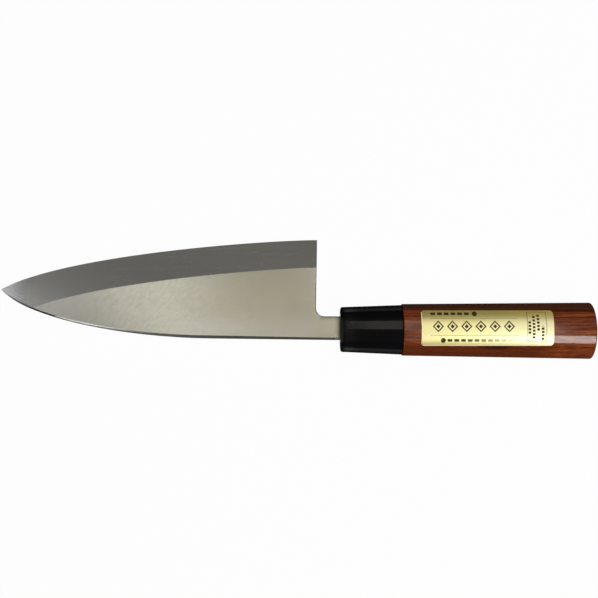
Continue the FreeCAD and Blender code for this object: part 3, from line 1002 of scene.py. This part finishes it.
def gold_foil():
    finish, tree = new_finish("gold foil")
    place, x, y, _ = place_of(tree)
    along = x - label_low.x
    across = y - label_low.y
    grain = clouds(place, *FOIL_GRAIN)
    creases = clouds(place, *CREASES)
    printed = label_ink(along, across) * (INK_WORN + swing(grain) * INK_SPECKLE)
    # The rim here is the painted highlight along the label's edges.
    rim = either(step(along, RIM_WIDE, RIM_WIDE / 2), step(across, RIM_WIDE, RIM_WIDE / 2))
    foil = tint(rim, foil_colour(along, across, creases), FOIL_RIM_GLINT)
    coat(finish, {
        "Base Color": tint(printed, foil, INK),
        "Metallic": FOIL_METAL * (1 - either(printed, rim)),
        "Specular IOR Level": FOIL_SHEEN,
        "Roughness": FOIL_ROUGH + grain * GRAIN_ROUGH + printed * INK_ROUGH,
        "Normal": relief(creases + grain * FOIL_GRAIN_DEEP + printed * INK_DEEP, CREASE_DEPTH),
    })
    return finish


dress("label", gold_foil())

# %% [markdown]
# ## Resin
#
# The tang is bedded in dark resin, and some of it stands round the neck where the blade enters the ferrule.
# It runs out thin and pale on top of the neck. The CAD has that bead as a plain chamfer. Resin that has run
# into a corner and set has a hollow fillet instead, a little uneven. A bevel modifier on the chamfer would
# be too even, so the bead is built as rings of points round the neck: each ring is the neck's outline grown
# by the fillet's width at that depth.

# %% Resin finish
RESIN_DARK = shade(0.016, 0.010, 0.006)
RESIN_BROWN = shade(0.050, 0.028, 0.013)
RESIN_THIN = shade(0.24, 0.21, 0.16)
THIN_FROM = mouth_x + 0.3                 # from here to the bead's end it gets thinner
THIN_UP = (0.2, 0.7)                      # on what faces up
RESIN_DEPTHS = ((1.6, 1.6, 1.6), 3.0)
RESIN_DUST = ((0.25, 0.25, 0.25), 2.0)
RESIN_ROUGH, DUST_ROUGH = 0.28, 0.18
DUST_DEEP, RESIN_RELIEF = 0.2, 0.03       # a share, and mm


def set_resin():
    finish, tree = new_finish("set resin")
    place, x, _, _ = place_of(tree)
    depth = clouds(place, *RESIN_DEPTHS)
    dust = clouds(place, *RESIN_DUST)
    thin = step(x, THIN_FROM, seal_low.x) * step(facing(tree), *THIN_UP)
    coat(finish, {
        "Base Color": tint(thin, tint(depth, RESIN_DARK, RESIN_BROWN), RESIN_THIN),
        "Roughness": RESIN_ROUGH + dust * DUST_ROUGH,
        "Normal": relief(depth + dust * DUST_DEEP, RESIN_RELIEF),
    })
    return finish


resin = set_resin()
dress("tang_resin", resin)
dress("mouth_seal", resin)

# %% Outline of the neck
BEAD_CORNER = 0.9         # mm, radius of the neck's corners

neck_middle = Vector(((seal_low.y + seal_high.y) / 2, (seal_low.z + seal_high.z) / 2))
neck_half = Vector(((seal_high.y - seal_low.y) / 2 - BEAD_LIP, (seal_high.z - seal_low.z) / 2 - BEAD_LIP))


def neck_point(turn, grow):
    """A point of the neck's outline, grown outwards, at a share of a turn round it."""
    angle = 2 * math.pi * turn
    power = 2 * BEAD_CORNER / (neck_half.x + neck_half.y)
    half = neck_half + Vector((grow, grow))
    across = math.copysign(abs(math.cos(angle)) ** power, math.cos(angle)) * half.x
    upward = math.copysign(abs(math.sin(angle)) ** power, math.sin(angle)) * half.y
    return neck_middle + Vector((across, upward))


print(f"neck {2 * neck_half.x:.2f} by {2 * neck_half.y:.2f} mm")

# %% Section of the bead
BEAD_CREEP = mouth_x - seal_low.x         # mm that it creeps out along the neck
BEAD_STEPS = 10
BEAD_ROOT = 0.4                           # mm that it goes into the slot
LUMPS = ((3, 0.10, 0.7), (5, 0.06, 2.1), (11, 0.03, 4.0))    # how many round, how big, where they start


def lump(turn):
    return 1 + sum(size * math.sin(2 * math.pi * count * turn + start) for count, size, start in LUMPS)


def bead_profile():
    """Depth along x and growth from the neck, all round the bead's section."""
    fillet = []
    for number in range(BEAD_STEPS + 1):
        turn = math.pi / 2 * number / BEAD_STEPS
        fillet.append((-BEAD_CREEP * (1 - math.sin(turn)), BEAD_LIP * (1 - math.cos(turn))))
    return fillet + [(BEAD_ROOT, BEAD_LIP / 4), (BEAD_ROOT, -BEAD_ROOT), (-BEAD_CREEP, -BEAD_ROOT)]


print(len(bead_profile()), "points in the bead's section")

# %% Resin bead
BEAD_POINTS = 120
LUMP_SHIFT = 0.3          # share of a turn between the lumps across and along


def bead_mesh():
    mesh = bmesh.new()
    rings = []
    for depth, grow in bead_profile():
        ring = []
        for number in range(BEAD_POINTS):
            turn = number / BEAD_POINTS
            y, z = neck_point(turn, grow * lump(turn) if grow > 0 else grow)
            x = mouth_x + (depth * lump(turn + LUMP_SHIFT) if depth < 0 else depth)
            ring.append(mesh.verts.new(Vector((max(x, seal_low.x), y, z)) * MM))
        rings.append(ring)
    for ring, following in zip(rings, rings[1:] + rings[:1]):
        for number in range(BEAD_POINTS):
            after = (number + 1) % BEAD_POINTS
            mesh.faces.new((ring[number], ring[after], following[after], following[number]))
    bmesh.ops.recalc_face_normals(mesh, faces=mesh.faces)
    for face in mesh.faces:
        face.smooth = True
    return mesh


bead = bpy.data.objects.new("resin_bead", bpy.data.meshes.new("resin_bead"))
made = bead_mesh()
made.to_mesh(bead.data)
made.free()
bead.data.materials.append(resin)
bpy.context.scene.collection.objects.link(bead)
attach(bead, "root")
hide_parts("mouth_seal")
print("bead:", len(bead.data.polygons), "faces")
